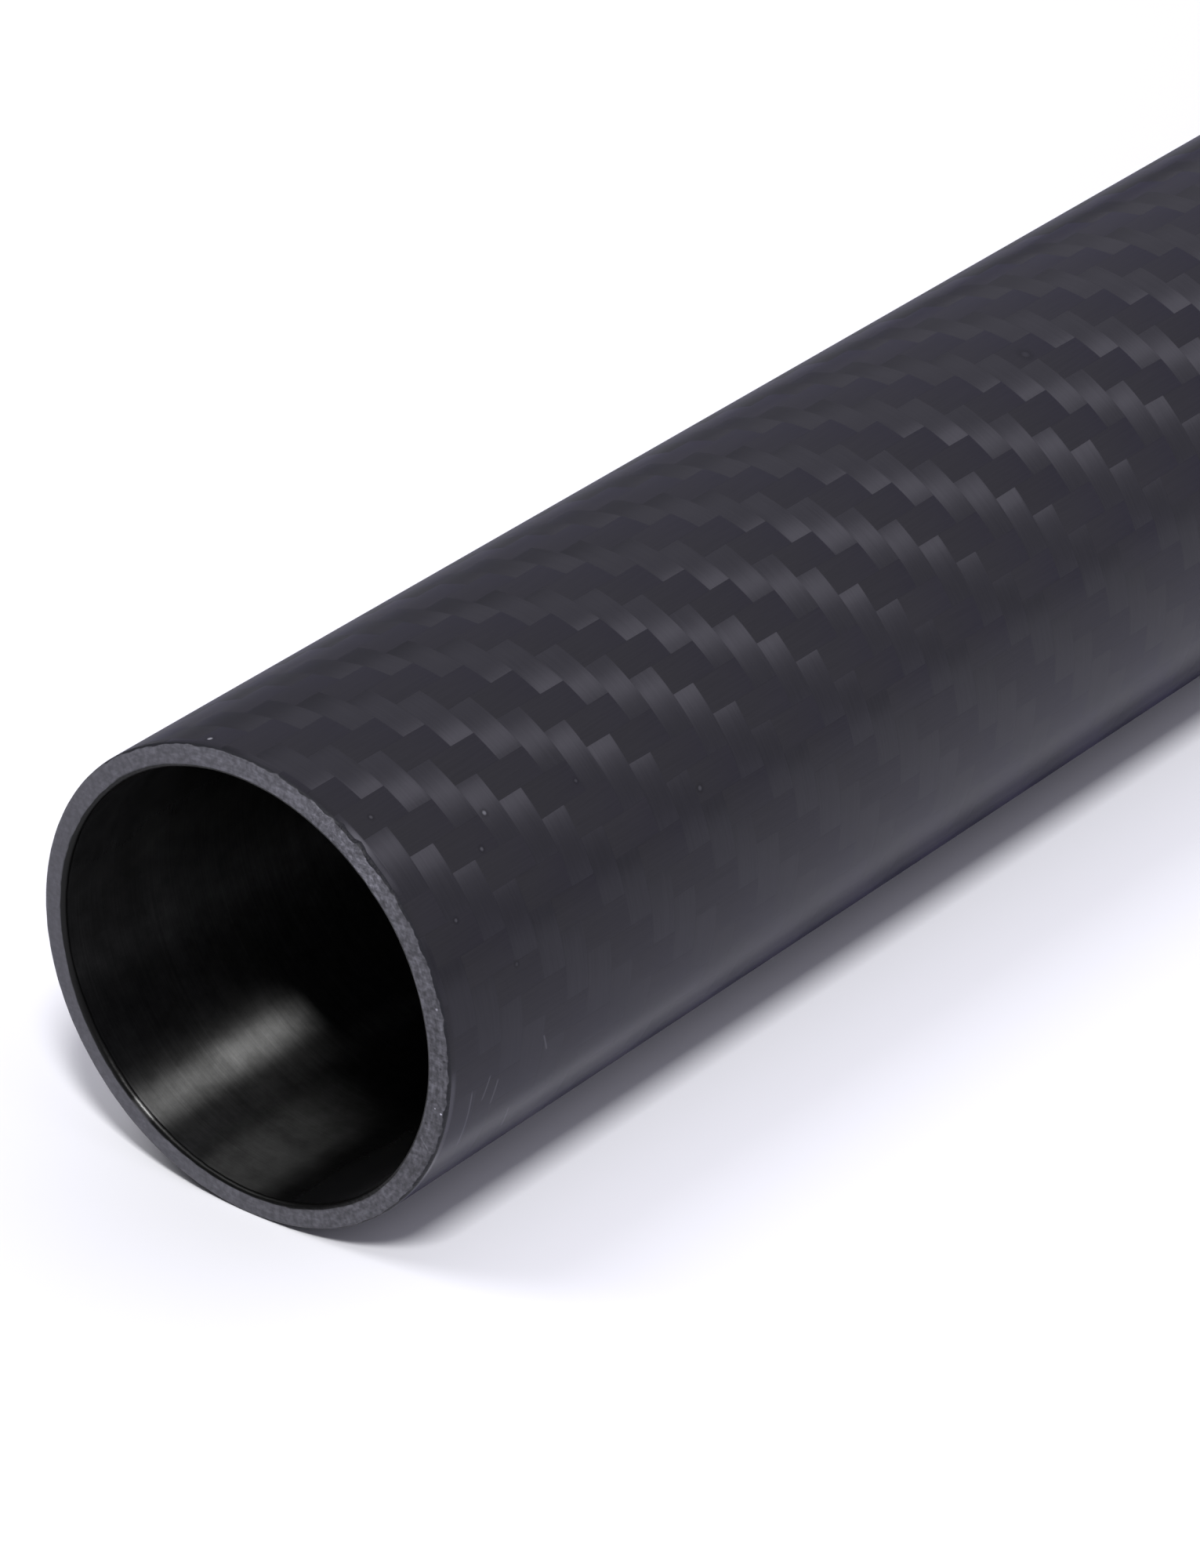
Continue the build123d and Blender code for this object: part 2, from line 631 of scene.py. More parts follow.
        strip_rows = TOW_ROWS / SKIN_STRIPS
        share_along = divide(tree, scaled(tree, strip, -strip_rows, row), strip_rows)
        share_round = divide(tree, round_tows, TOWS_ROUND)
        strip_column = calc(tree, "FLOORED_MODULO", strip, STRIPS_ABREAST)
        strip_row = calc(tree, "FLOOR", divide(tree, strip, STRIPS_ABREAST))
        map_x = plus(tree, strip_column, in_band(tree, share_along))
        map_x = divide(tree, map_x, STRIPS_ABREAST)
        map_y = plus(tree, strip_row, in_band(tree, share_round))
        map_y = times(tree, map_y, SKIN_TOP * STRIPS_ABREAST / SKIN_STRIPS)
        sheet = store(tree, sheet, MAP_NAME, "CORNER", "FLOAT2", point_at(tree, map_x, map_y))

        sheet = dress_faces(tree, sheet, given["Axial Tows"])
        sheet = dress_faces(tree, sheet, given["Hoop Tows"], chosen=hoop)
        station = scaled(tree, bent_along, given["Tow Pitch"], given["First Tow Line"])
        sheet = call(tree, bend, sheet=sheet, station=station, radius=outer_radius, turn=bent_turn)
        return turned_over(tree, sheet)

    def sawn_end(far):
        """From the skin over the broken outer edge, across the cut and over the bore's edge."""
        sheet, row, column = flat_sheet(tree, END_STEPS, COLUMNS)
        turn = turn_of(tree, column)
        width = outer_break(turn, far)
        bore_width = bore_break(turn, far)
        middle = times(tree, plus(tree, outer_radius, bore_radius), 0.5)
        half = times(tree, minus(tree, outer_radius, bore_radius), 0.5)
        swing = calc(tree, "COSINE", times(tree, row, math.pi / END_STEPS))
        radius = scaled(tree, half, swing, middle)
        into_outer = minus(tree, radius, minus(tree, outer_radius, width))
        into_bore = minus(tree, plus(tree, bore_radius, bore_width), radius)

        def part_way(into, edge):
            share = calc(tree, "MAXIMUM", divide(tree, into, edge), 0.0)
            return calc(tree, "MINIMUM", share, 1.0)

        def rounding(share, edge):
            rest = minus(tree, 1.0, times(tree, share, share))
            return times(tree, edge, minus(tree, 1.0, calc(tree, "SQRT", rest)))

        outer_share = part_way(into_outer, width)
        bore_share = part_way(into_bore, bore_width)
        outer_depth = rounding(outer_share, width)
        depth = calc(tree, "MAXIMUM", outer_depth, rounding(bore_share, bore_width))
        station = minus(tree, given["Length"], depth) if far else depth
        map_x = in_band(tree, divide(tree, column, COLUMNS))
        band = FAR_BAND if far else NEAR_BAND
        map_y = in_band(tree, divide(tree, row, END_STEPS), *band)
        sheet = store(tree, sheet, MAP_NAME, "CORNER", "FLOAT2", point_at(tree, map_x, map_y))
        shares = point_at(tree, outer_share, bore_share)
        sheet = store(tree, sheet, "broken_edge", "CORNER", "FLOAT_VECTOR", shares)
        sheet = dress_faces(tree, sheet, given["Sawn End"])
        kept = {"station": station, "radius": radius, "turn": turn}
        sheet, (station, radius, turn) = keep(tree, sheet, "POINT", **kept)
        sheet = call(tree, bend, sheet=sheet, station=station, radius=radius, turn=turn)
        return turned_over(tree, sheet) if far else sheet

    def bore():
        sheet, row, column = flat_sheet(tree, BORE_STEPS, COLUMNS)
        share_along = divide(tree, row, BORE_STEPS)
        turn = turn_of(tree, column)
        first = bore_break(turn, far=False)
        last = minus(tree, given["Length"], bore_break(turn, far=True))
        station = blend_numbers(tree, share_along, first, last)
        map_x = in_band(tree, share_along)
        map_y = in_band(tree, divide(tree, column, COLUMNS), *BORE_BAND)
        sheet = store(tree, sheet, MAP_NAME, "CORNER", "FLOAT2", point_at(tree, map_x, map_y))
        sheet = dress_faces(tree, sheet, given["Bore"])
        sheet, (station, turn) = keep(tree, sheet, "POINT", station=station, turn=turn)
        return call(tree, bend, sheet=sheet, station=station, radius=bore_radius, turn=turn)

    joined = put(tree, "GeometryNodeJoinGeometry")
    for sheet in (skin(), sawn_end(far=False), sawn_end(far=True), bore()):
        tree.links.new(sheet, joined.inputs[0])
    reads = {"Geometry": joined.outputs[0], "Distance": MERGE_DISTANCE}
    merged = put(tree, "GeometryNodeMergeByDistance", reads)
    smooth = put(tree, "GeometryNodeSetShadeSmooth", {"Geometry": merged.outputs[0]})
    real = put(tree, "GeometryNodeRealizeInstances", {"Geometry": smooth.outputs[0]})
    tree.links.new(real.outputs[0], result["Tube"])
    return tree


def add_object(name, data):
    added = bpy.data.objects.new(name, data)
    bpy.context.scene.collection.objects.link(added)
    return added


def run_tree(name, tree, inputs):
    """Runs a geometry tree on an empty mesh and hands back its result as a plain mesh object."""
    maker = add_object(name + "_maker", bpy.data.meshes.new(name + "_maker"))
    modifier = maker.modifiers.new(name, "NODES")
    modifier.node_group = tree
    items = [item for item in tree.interface.items_tree if item.in_out == "INPUT"]
    sockets = {item.name: item.identifier for item in items}
    for title, value in inputs.items():
        modifier[sockets[title]] = value
    bpy.context.view_layer.update()
    evaluated = maker.evaluated_get(bpy.context.evaluated_depsgraph_get())
    mesh = bpy.data.meshes.new_from_object(evaluated)
    if mesh.materials[0] is None:
        mesh.materials.pop(index=0)
    bpy.data.objects.remove(maker)
    return add_object(name, mesh)


# Materials


def new_material(name):
    """A material with a Principled shader on its output, as (material, tree, shader)."""
    material = bpy.data.materials.new(name)
    material.use_nodes = True
    tree = material.node_tree
    tree.nodes.clear()
    shader = put(tree, "ShaderNodeBsdfPrincipled")
    put(tree, "ShaderNodeOutputMaterial", {"Surface": shader.outputs[0]})
    return material, tree, shader


def use_group(tree, group, reads):
    return put(tree, "ShaderNodeGroup", reads, node_tree=group).outputs


def shaded(tree, color, shade):
    """A colour made paler or darker by a shade."""
    reads = {0: color, "Scale": shade}
    return put(tree, "ShaderNodeVectorMath", reads, operation="SCALE").outputs[0]


def mix_colors(tree, share, first, second):
    """A colour from the first to the second as the share goes from 0 to 1."""
    reads = {"Factor": share, 6: first, 7: second}
    return put(tree, "ShaderNodeMix", reads, data_type="RGBA").outputs[2]


def bumped(tree, height):
    return put(tree, "ShaderNodeBump", {"Height": height, "Distance": 1.0}).outputs[0]


def direction_round_tube(tree):
    return put(tree, "ShaderNodeTangent", direction_type="RADIAL", axis="X").outputs[0]


def spot(tree, place, centre, radius):
    """1 in a spot's core and 0 outside it. Place and centre are on the laid-out surface."""
    reads = {0: place, 1: centre}
    distance = put(tree, "ShaderNodeVectorMath", reads, operation="DISTANCE").outputs["Value"]
    return soft_step(tree, distance, radius, radius * CORE_SHARE)


def line_ends(tree, share):
    """1 along a line, fading to 0 at both its ends, where the share is 0 and 1."""
    return soft_step(tree, times(tree, share, minus(tree, 1.0, share)), 0.0, 0.1)


def make_tow_group():
    """One tow's float: its crown along the fibres, its rounded sides, its strands and its gaps."""
    tree, given, result = new_group(
        "tow",
        SHADER_TREE,
        [
            ("On Float", VECTOR, None),
            ("Tone", FLOAT, 0.5),
            ("Crown", FLOAT, HOOP_CROWN),
            ("Side Rounding", FLOAT, 0.00001),
            ("Strand Height", FLOAT, 0.000001),
            ("Strands Across", FLOAT, 14.0),
            ("Strand Breaks", FLOAT, 1.2),
            ("Gap Start", FLOAT, 0.9),
        ],
        [("Height", FLOAT, None), ("Strands", FLOAT, None), ("Gap", FLOAT, None)],
    )
    place = split_point(tree, given["On Float"])
    along, across = place["X"], place["Y"]
    from_middle = scaled(tree, along, 2.0, -1.0)
    crown = minus(tree, 1.0, times(tree, from_middle, from_middle))
    from_centre = calc(tree, "ABSOLUTE", scaled(tree, across, 2.0, -1.0))
    side = minus(tree, 1.0, calc(tree, "POWER", from_centre, 4.0))
    along = times(tree, along, given["Strand Breaks"])
    across = times(tree, across, given["Strands Across"])
    apart = times(tree, given["Tone"], 71.0)
    strands = noise(tree, point_at(tree, along, across, apart), 1.0, detail=3.0, roughness=0.6)
    height = times(tree, crown, given["Crown"])
    height = scaled(tree, side, given["Side Rounding"], height)
    height = scaled(tree, strands, given["Strand Height"], height)
    tree.links.new(height, result["Height"])
    tree.links.new(strands, result["Strands"])
    tree.links.new(soft_step(tree, from_centre, given["Gap Start"], 1.0), result["Gap"])
    return tree


def make_polar_group():
    """A point as its station from the near end, its turn round the axis and its radius."""
    tree, given, result = new_group(
        "round_the_axis",
        SHADER_TREE,
        [("Place", VECTOR, None)],
        [("Station", FLOAT, None), ("Turn", FLOAT, None), ("Radius", FLOAT, None)],
    )
    place = split_point(tree, given["Place"])
    side = times(tree, place["Y"], -1.0)
    rise = minus(tree, place["Z"], AXIS_HEIGHT)
    squares = plus(tree, times(tree, side, side), times(tree, rise, rise))
    turn = calc(tree, "DEGREES", calc(tree, "ARCTAN2", side, rise))
    tree.links.new(minus(tree, place["X"], NEAR_END.x), result["Station"])
    tree.links.new(turn, result["Turn"])
    tree.links.new(calc(tree, "SQRT", squares), result["Radius"])
    return tree


def make_rim_stretch_edge_group(polar_group):
    """1 on the near edge's rim stretches, where the skin's rim is painted pale as a highlight, and
    0 elsewhere.
    """
    tree, given, result = new_group(
        "rim_stretch_edge",
        SHADER_TREE,
        [("Place", VECTOR, None)],
        [("Rim Stretch", FLOAT, None)],
    )
    where = use_group(tree, polar_group, {"Place": given["Place"]})
    rim_stretch = 0.0
    for first, last in RIM_STRETCHES:
        rim_stretch = calc(tree, "MAXIMUM", stretch(tree, where["Turn"], first, last), rim_stretch)
    near = calc(tree, "LESS_THAN", where["Station"], MARKED_LENGTH)
    tree.links.new(times(tree, rim_stretch, near), result["Rim Stretch"])
    return tree


def make_skin_marks_group(polar_group):
    """The dust and the hairline scratches on the skin: their paleness, and 0 elsewhere."""
    tree, given, result = new_group(
        "skin_marks",
        SHADER_TREE,
        [
            ("Place", VECTOR, None),
            ("Cell Size", FLOAT, 0.003),
            ("Speck Radius", FLOAT, 0.00008),
            ("Share", FLOAT, 0.2),
        ],
        [("Speck", FLOAT, None), ("Halo", FLOAT, None), ("Scratch", FLOAT, None)],
    )
    where = use_group(tree, polar_group, {"Place": given["Place"]})
    station, turn = where["Station"], where["Turn"]
    degree_length = math.radians(1.0) * OUTER_RADIUS
    laid_out = point_at(tree, station, times(tree, turn, degree_length))
    speck = 0.0
    halo = 0.0
    for speck_station, speck_turn, radius, paleness in SPECKS:
        centre = (speck_station, speck_turn * degree_length, 0.0)
        mark = times(tree, spot(tree, laid_out, centre, radius), paleness)
        speck = calc(tree, "MAXIMUM", mark, speck)
        around = spot(tree, laid_out, centre, radius * HALO_REACH)
        halo = calc(tree, "MAXIMUM", around, halo)
    tree.links.new(halo, result["Halo"])

    # Dust beyond the part that the camera sees is scattered at random.
    scale = divide(tree, 1.0, given["Cell Size"])
    cells = put(tree, "ShaderNodeTexVoronoi", {"Vector": given["Place"], "Scale": scale})
    distance = times(tree, cells.outputs["Distance"], given["Cell Size"])
    chance = put(tree, "ShaderNodeSeparateColor", {0: cells.outputs["Color"]}).outputs[0]
    has_speck = calc(tree, "LESS_THAN", chance, given["Share"])
    inside = calc(tree, "LESS_THAN", distance, given["Speck Radius"])
    beyond = calc(tree, "GREATER_THAN", station, MARKED_LENGTH)
    random_speck = times(tree, times(tree, has_speck, inside), beyond)
    tree.links.new(calc(tree, "MAXIMUM", speck, random_speck), result["Speck"])

    scratch = 0.0
    for start, first_turn, last_turn, drift in SCRATCHES:
        share = share_between(tree, turn, first_turn, last_turn)
        off = minus(tree, station, scaled(tree, share, drift, start))
        line = soft_step(tree, calc(tree, "ABSOLUTE", off), SCRATCH_EDGE, SCRATCH_CORE)
        scratch = calc(tree, "MAXIMUM", times(tree, line, line_ends(tree, share)), scratch)
    tree.links.new(scratch, result["Scratch"])
    return tree


def make_lap_group():
    """The line where the last wrap of cloth ends: 1 on the line and 0 elsewhere."""
    tree, given, result = new_group(
        "cloth_lap",
        SHADER_TREE,
        [("On Cloth", VECTOR, None), ("Half Width", FLOAT, 0.06)],
        [("Lap", FLOAT, None)],
    )
    round_tows = split_point(tree, given["On Cloth"])["Y"]
    off = calc(tree, "MINIMUM", round_tows, minus(tree, TOWS_ROUND, round_tows))
    tree.links.new(soft_step(tree, off, given["Half Width"], 0.0), result["Lap"])
    return tree


def make_tows(name, groups, fibre_color, edge_tint, painted_tones, crown, sheen):
    """Carbon fibres that all run one way, under clear satin resin."""
    material, tree, shader = new_material(name)
    on_float = put(tree, "ShaderNodeUVMap", uv_map="on_float").outputs[0]
    on_cloth = put(tree, "ShaderNodeUVMap", uv_map="on_cloth").outputs[0]
    tone = put(tree, "ShaderNodeAttribute", attribute_name="tow_tone").outputs["Fac"]
    place = put(tree, "ShaderNodeTexCoord").outputs["Object"]
    where = use_group(tree, groups["polar"], {"Place": place})
    station, turn = where["Station"], where["Turn"]
    even = soft_step(tree, turn, *EVEN_SKIN)
    crown = vary(tree, crown, even, -EVEN_FLATTENING)
    tow = use_group(tree, groups["tow"], {"On Float": on_float, "Tone": tone, "Crown": crown})
    lap = use_group(tree, groups["lap"], {"On Cloth": on_cloth})["Lap"]
    marks = use_group(tree, groups["skin_marks"], {"Place": place})
    rim_stretch = use_group(tree, groups["rim_stretch_edge"], {"Place": place})["Rim Stretch"]

    # How much dust or scratch covers the fibres, and how pale the skin's rim is painted as a
    # painted highlight.
    rim_highlight = times(tree, rim_stretch, soft_step(tree, station, RIM_HIGHLIGHT_START, RIM_HIGHLIGHT_FULL))
    scratch = times(tree, marks["Scratch"], SCRATCH_PALENESS)
    dust_and_highlight = calc(tree, "MAXIMUM", marks["Speck"], scratch)
    dust_and_highlight = scaled(tree, rim_highlight, RIM_HIGHLIGHT_SHARE, dust_and_highlight)

    spread = blend_numbers(tree, even, *TONE_SPREADS)
    shade = scaled(tree, minus(tree, tone, 0.5), spread, 1.0)
    shade = vary(tree, shade, minus(tree, tow["Strands"], 0.5), STRAND_SPREAD)
    for layer, gain in ((tow["Gap"], -0.10), (lap, -0.6), (marks["Halo"], -0.4)):
        shade = vary(tree, shade, layer, gain)
    # Painted highlight and painted shade on the hoop tows, by stretches of turn.
    for first, last, paler in painted_tones:
        shade = vary(tree, shade, stretch(tree, turn, first, last, HOOP_PAINTED_LIGHT_FADE), paler)

    # The resin shines less at a grazing angle, because it is satin.
    facing = put(tree, "ShaderNodeLayerWeight", {"Blend": 0.5}).outputs["Facing"]
    coat = blend_numbers(tree, soft_step(tree, facing, *SHINE_FACINGS), *SHINES)
    near_end = soft_step(tree, station, *NEAR_END_FADE)
    for first, full, more in END_SHINES:
        changed = times(tree, near_end, soft_step(tree, turn, first, full))
        coat = vary(tree, coat, changed, more)
    finish = {
        "Base Color": mix_colors(tree, dust_and_highlight, shaded(tree, fibre_color, shade), DUST_AND_HIGHLIGHT_COLOR),
        "Metallic": calc(tree, "MAXIMUM", minus(tree, 1.0, dust_and_highlight), 0.0),
        "Roughness": blend_numbers(tree, tow["Strands"], 0.58, 0.66),
        "Normal": bumped(tree, tow["Height"]),
        "Tangent": direction_round_tube(tree),
        "Anisotropic": 0.9,
        "Anisotropic Rotation": sheen,
        "Specular Tint": edge_tint,
        "Coat Weight": coat,
        "Coat Roughness": 0.22,
        "Coat IOR": 1.35,
    }
    feed(tree, shader, finish)
    return material


def make_sawn_end(groups):
    """Cut laminate: grey and grainy, with ply rings and saw marks. Its broken edges are dark."""
    material, tree, shader = new_material("sawn_end")
    place = put(tree, "ShaderNodeTexCoord").outputs["Object"]
    where = use_group(tree, groups["polar"], {"Place": place})
    station, turn, radius = where["Station"], where["Turn"], where["Radius"]
    near = calc(tree, "LESS_THAN", station, MARKED_LENGTH)
    broken = put(tree, "ShaderNodeAttribute", attribute_name="broken_edge").outputs["Vector"]
    shares = split_point(tree, broken)
    outer_share, bore_share = shares["X"], shares["Y"]

    angle = calc(tree, "RADIANS", turn)
    cosine, sine = calc(tree, "COSINE", angle), calc(tree, "SINE", angle)
    rim_place = point_at(
        tree,
        times(tree, radius, CLOUDS_ACROSS),
        times(tree, cosine, CLOUDS_ROUND),
        times(tree, sine, CLOUDS_ROUND),
    )
    lean = (math.radians(SAW_MARK_LEAN), 0, 0)
    marks_reads = {"Vector": place, "Rotation": lean, "Scale": SAW_MARK_SCALE}
    marks_place = put(tree, "ShaderNodeMapping", marks_reads).outputs[0]
    grain = soft_step(tree, noise(tree, place, GRAIN_SCALE), 0.30, 0.70)
    clouds = noise(tree, rim_place, 1.0)
    blotches = noise(tree, place, BLOTCH_SCALE, detail=1.0)
    plies = calc(tree, "SINE", times(tree, radius, 2 * math.pi / PLY_PITCH))
    marks = noise(tree, marks_place, 1.0)

    shade = blend_numbers(tree, grain, 0.62, 1.38)
    layers = ((clouds, 1.5, 0.25), (blotches, 0.7, 0.65), (plies, 0.06, 1.0), (marks, 0.9, 0.55))
    for layer, gain, base in layers:
        shade = vary(tree, shade, layer, gain, base)

    # The saw left the cut coarser on the camera's side of the tube than on the other.
    side_share = calc(tree, "COSINE", minus(tree, angle, math.radians(COARSE_TURN)))
    coarse = blend_numbers(tree, scaled(tree, side_share, 0.5, 0.5), LEAST_COARSE, 1.0)
    shade = blend_numbers(tree, coarse, 1.0, shade)

    # The cut is paler at its top and bottom than at its sides.
    shade = vary(tree, shade, times(tree, cosine, cosine), UPRIGHT_PALENESS)

    # The frayed stretch, where loose fibre ends catch the light: their paleness is a painted
    # highlight, over a bump of tufts.
    off_turn = calc(tree, "ABSOLUTE", minus(tree, turn, FRAYED_TURN))
    frayed = soft_step(tree, off_turn, FRAYED_REACH, FRAYED_REACH * CORE_SHARE)
    tufts = noise(tree, place, TUFT_SCALE, detail=3.0, roughness=0.7)
    frayed = times(tree, times(tree, frayed, near), soft_step(tree, tufts, 0.45, 0.62))
    shade = vary(tree, shade, frayed, FRAYED_PALENESS)

    # The outer edge is dark where the skin was rubbed through, and wider on the rim stretches.
    ragged = scaled(tree, minus(tree, clouds, 0.5), DARK_RIM_RAGGEDNESS, outer_share)
    rim_stretch = use_group(tree, groups["rim_stretch_edge"], {"Place": place})["Rim Stretch"]
    ragged = scaled(tree, rim_stretch, RIM_STRETCH_GAIN, ragged)
    dark_rim = soft_step(tree, ragged, *DARK_RIM_SHARES)

    degree_length = math.radians(1.0) * END_MARKS_RADIUS
    laid_out = point_at(tree, radius, times(tree, turn, degree_length), station)
    for nick_radius, nick_turn, size in END_NICKS:
        mark = spot(tree, laid_out, (nick_radius, nick_turn * degree_length, 0.0), size)
        shade = vary(tree, shade, mark, -NICK_DARKNESS)
    share = share_between(tree, radius, *END_SCRATCH_RADII)
    off = calc(tree, "ABSOLUTE", minus(tree, turn, blend_numbers(tree, share, *END_SCRATCH_TURNS)))
    line = soft_step(tree, times(tree, off, degree_length), END_SCRATCH_EDGE, END_SCRATCH_CORE)
    scratch = times(tree, times(tree, line, line_ends(tree, share)), near)
    shade = scaled(tree, scratch, END_SCRATCH_PALENESS, shade)
    for speck_radius, speck_turn, size, paleness in END_SPECKS:
        mark = spot(tree, laid_out, (speck_radius, speck_turn * degree_length, 0.0), size)
        shade = scaled(tree, mark, paleness, shade)

    # The bore's broken edge is polished like the bore. Its colour is painted bright on one stretch
    # and dark elsewhere: a painted glint.
    smooth_edge = soft_step(tree, bore_share, 0.05, 0.25)
    polish_and_glint = blend_numbers(tree, stretch(tree, turn, *PAINTED_GLINT, fade=1.5), *EDGE_GLINT_SHADES)
    color = mix_colors(tree, dark_rim, shaded(tree, CUT_COLOR, shade), DARK_RIM_COLOR)
    rough = blend_numbers(tree, clouds, 0.45, 0.65)
    saw_marks = times(tree, marks, SAW_MARK_HEIGHT)
    height = times(tree, plus(tree, times(tree, grain, GRAIN_HEIGHT), saw_marks), coarse)
    height = scaled(tree, frayed, TUFT_HEIGHT, height)
    finish = {
        "Base Color": mix_colors(tree, smooth_edge, color, shaded(tree, BORE_COLOR, polish_and_glint)),
        "Metallic": smooth_edge,
        "Roughness": blend_numbers(tree, smooth_edge, rough, 0.4),
        "Specular IOR Level": 0.2,
        "Normal": bumped(tree, height),
    }
    feed(tree, shader, finish)
    return material


def make_bore(groups):
    """The bore as it left the mandrel: black and smooth, with fine marks round it."""
    material, tree, shader = new_material("bore")
    place = put(tree, "ShaderNodeTexCoord").outputs["Object"]
    where = use_group(tree, groups["polar"], {"Place": place})
    depth = where["Station"]
    marks_reads = {"Vector": place, "Scale": BORE_MARK_SCALE}
    marks_place = put(tree, "ShaderNodeMapping", marks_reads).outputs[0]
    marks = noise(tree, marks_place, 1.0, detail=3.0, roughness=0.6)
    patches = noise(tree, place, BORE_PATCH_SCALE, detail=4.0, roughness=0.65)
    shade = vary(tree, scaled(tree, marks, 0.7, 0.65), patches, 1.1, 0.45)

    # Painted highlight and shade: the lower half is painted paler and the upper half darker, and
    # the whole is painted darker beside the sawn end than deeper in.
    height = split_point(tree, place)["Z"]
    lowness = scaled(tree, height, -1 / BORE_RADIUS, AXIS_HEIGHT / BORE_RADIUS)
    low_light = blend_numbers(tree, soft_step(tree, lowness, 0.1, 0.6), *PAINTED_LOW_SHADES)
    depth_light = blend_numbers(tree, soft_step(tree, depth, *PAINTED_DEPTHS), *PAINTED_DEPTH_SHADES)
    shade = times(tree, shade, times(tree, low_light, depth_light))
    # A painted sheen makes a stretch beside the bright streak paler.
    shade = vary(tree, shade, stretch(tree, where["Turn"], *BORE_PAINTED_SHEEN, fade=4.0), 1.0)
    polish_and_glint = blend_numbers(tree, soft_step(tree, depth, *SHINE_DEPTHS), *SHINE_GAINS)
    finish = {
        "Base Color": shaded(tree, BORE_COLOR, shade),
        "Metallic": 1.0,
        "Roughness": times(tree, blend_numbers(tree, marks, 0.38, 0.42), polish_and_glint),
        "Tangent": direction_round_tube(tree),
        "Anisotropic": 1.0,
        "Anisotropic Rotation": SHEEN_ROUND,
        "Specular Tint": (0.1, 0.1, 0.1, 1.0),
    }
    feed(tree, shader, finish)
    return material


def make_tube_piece():
    polar_group = make_polar_group()
    groups = {
        "polar": polar_group,
        "tow": make_tow_group(),
        "lap": make_lap_group(),
        "skin_marks": make_skin_marks_group(polar_group),
        "rim_stretch_edge": make_rim_stretch_edge_group(polar_group),
    }
    hoop_looks = (HOOP_COLOR, HOOP_EDGE_TINT, HOOP_PAINTED_LIGHT, HOOP_CROWN, SHEEN_ROUND)
    axial_looks = (AXIAL_COLOR, AXIAL_EDGE_TINT, (), AXIAL_CROWN, SHEEN_ALONG)
    inputs = {
        "Hoop Tows": make_tows("hoop_tows", groups, *hoop_looks),
        "Axial Tows": make_tows("axial_tows", groups, *axial_looks),
        "Sawn End": make_sawn_end(groups),
        "Bore": make_bore(groups),
    }
    piece = run_tree("carbon_tube", make_tube_tree(), inputs)
    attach(piece, "root")
    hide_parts("tube")


# Stage

FLOOR_HALF_SIZE = 12.0
FLOOR_COLOR = (0.83, 0.83, 0.865, 1.0)

# The room's light rises from its dim colour to the window's between two cosines of the angle
# from the window's middle.
ROOM_COLOR = (0.10, 0.10, 0.11, 1.0)
WINDOW_COLOR = (0.96, 0.94, 1.08, 1.0)
WINDOW_TURN = 27.0
WINDOW_RISE = 34.0
WINDOW_COSINES = (0.08, 0.95)

# Lamps hang this far from a point on the axis just inside the near end.
LAMP_DISTANCE = 1.8
LAMP_AIM = NEAR_END + Vector((0.02, 0, 0))


def make_floor():
    mesh = bpy.data.meshes.new("floor")
    corners = [(x, y, 0.0) for x, y in ((-1, -1), (1, -1), (1, 1), (-1, 1))]
    corners = [(x * FLOOR_HALF_SIZE, y * FLOOR_HALF_SIZE, z) for x, y, z in corners]
    mesh.from_pydata(corners, [], [(0, 1, 2, 3)])
    floor = add_object("floor", mesh)
    material, tree, shader = new_material("pale_floor")
    finish = {"Base Color": FLOOR_COLOR, "Roughness": 0.9, "Specular IOR Level": 0.0}
    feed(tree, shader, finish)
    mesh.materials.append(material)


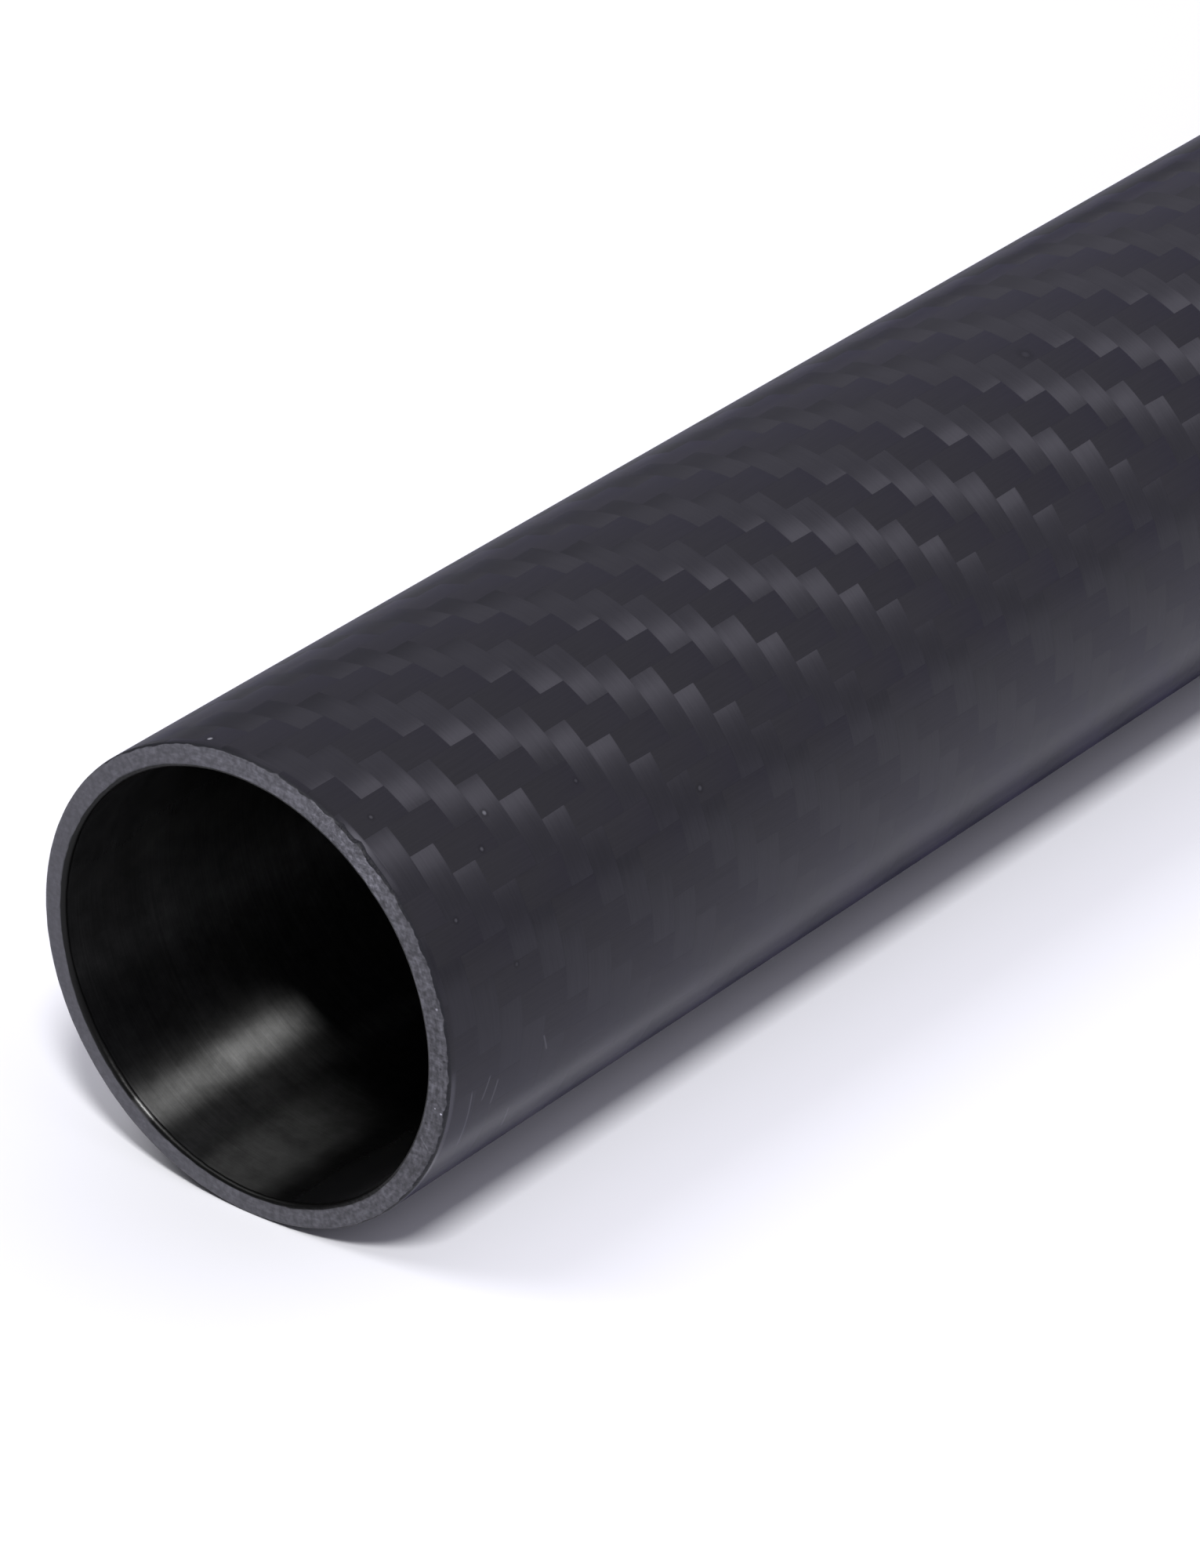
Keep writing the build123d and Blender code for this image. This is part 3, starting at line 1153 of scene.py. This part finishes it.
def make_room():
    """Soft light, strongest from beyond the far end on the camera's side, and dim elsewhere."""
    world = bpy.data.worlds.new("room")
    bpy.context.scene.world = world
    world.use_nodes = True
    tree = world.node_tree
    tree.nodes.clear()
    direction = put(tree, "ShaderNodeTexCoord").outputs["Generated"]
    turn = math.radians(WINDOW_TURN)
    rise = math.radians(WINDOW_RISE)
    level = math.cos(rise)
    reads = {0: direction, 1: (level * math.cos(turn), -level * math.sin(turn), math.sin(rise))}
    facing = put(tree, "ShaderNodeVectorMath", reads, operation="DOT_PRODUCT").outputs["Value"]
    share = share_between(tree, facing, *WINDOW_COSINES)
    color = mix_colors(tree, share, ROOM_COLOR, WINDOW_COLOR)
    light = put(tree, "ShaderNodeBackground", {"Color": color})
    put(tree, "ShaderNodeOutputWorld", {"Surface": light.outputs[0]})


def make_softbox(name, length, width, radiance, turn, lean):
    """A soft lamp that leans to the camera's side by turn, and past the near end by lean."""
    lamp = bpy.data.lights.new(name, "AREA")
    lamp.shape = "RECTANGLE"
    lamp.size = length
    lamp.size_y = width
    lamp.energy = radiance * math.pi * length * width
    box = add_object(name, lamp)
    turn = math.radians(turn)
    lean = math.radians(lean)
    level = math.cos(lean)
    away = Vector((-math.sin(lean), -level * math.sin(turn), level * math.cos(turn)))
    along = Vector((1, 0, 0)) - away * away.x
    along.normalize()
    axes = Matrix((along, away.cross(along), away)).transposed()
    box.location = LAMP_AIM + away * LAMP_DISTANCE
    box.rotation_mode = "QUATERNION"
    box.rotation_quaternion = axes.to_quaternion()
    box.visible_camera = False


def make_camera():
    camera = add_object("camera", bpy.data.cameras.new("camera"))
    turn = math.radians(CAMERA_TURN)
    rise = math.radians(CAMERA_RISE)
    level = math.cos(rise)
    back = Vector((level * math.sin(turn), -level * math.cos(turn), math.sin(rise)))
    camera.location = CAMERA_AIM + back * CAMERA_DISTANCE
    camera.rotation_mode = "QUATERNION"
    camera.rotation_quaternion = back.to_track_quat("Z", "Y")
    camera.data.lens = CAMERA_LENS
    camera.data.sensor_width = SENSOR_WIDTH
    camera.data.clip_start = 0.01
    bpy.context.scene.camera = camera


bpy.context.scene.view_settings.view_transform = "Standard"
make_tube_piece()
make_floor()
make_room()
make_softbox("key_softbox", length=0.20, width=0.36, radiance=112.0, turn=24.0, lean=27.0)
make_softbox("fill_softbox", length=0.60, width=1.00, radiance=5.4, turn=-25.0, lean=20.0)
make_camera()
